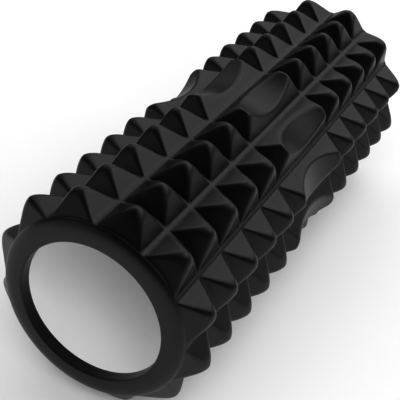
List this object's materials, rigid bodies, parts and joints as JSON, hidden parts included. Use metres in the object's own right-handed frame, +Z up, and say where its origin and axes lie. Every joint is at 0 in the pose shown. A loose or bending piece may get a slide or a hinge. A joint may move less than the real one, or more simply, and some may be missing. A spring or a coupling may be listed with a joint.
{
  "type": "hollow foam massage roller",
  "caption": "Hollow cylindrical massage roller: a foam sleeve with rows of pyramid studs and long scooped cells round its middle, on a rigid core tube.",
  "frame": {"origin": "middle of the roller's axis, half way along its length", "axes": "+Y along the roller's axis, +Z up with the roller lying down on two neighbouring rows of studs, +X to the side"},
  "size_m": [0.1252, 0.33, 0.1252],
  "materials": {
    "eva_foam": "matt black closed-cell EVA foam with a smooth moulded skin",
    "core_plastic": "smooth light grey extruded plastic, satin"
  },
  "bodies": {
    "root": {"foam_sleeve": "eva_foam", "core_tube": "core_plastic"}
  },
  "joints": []
}
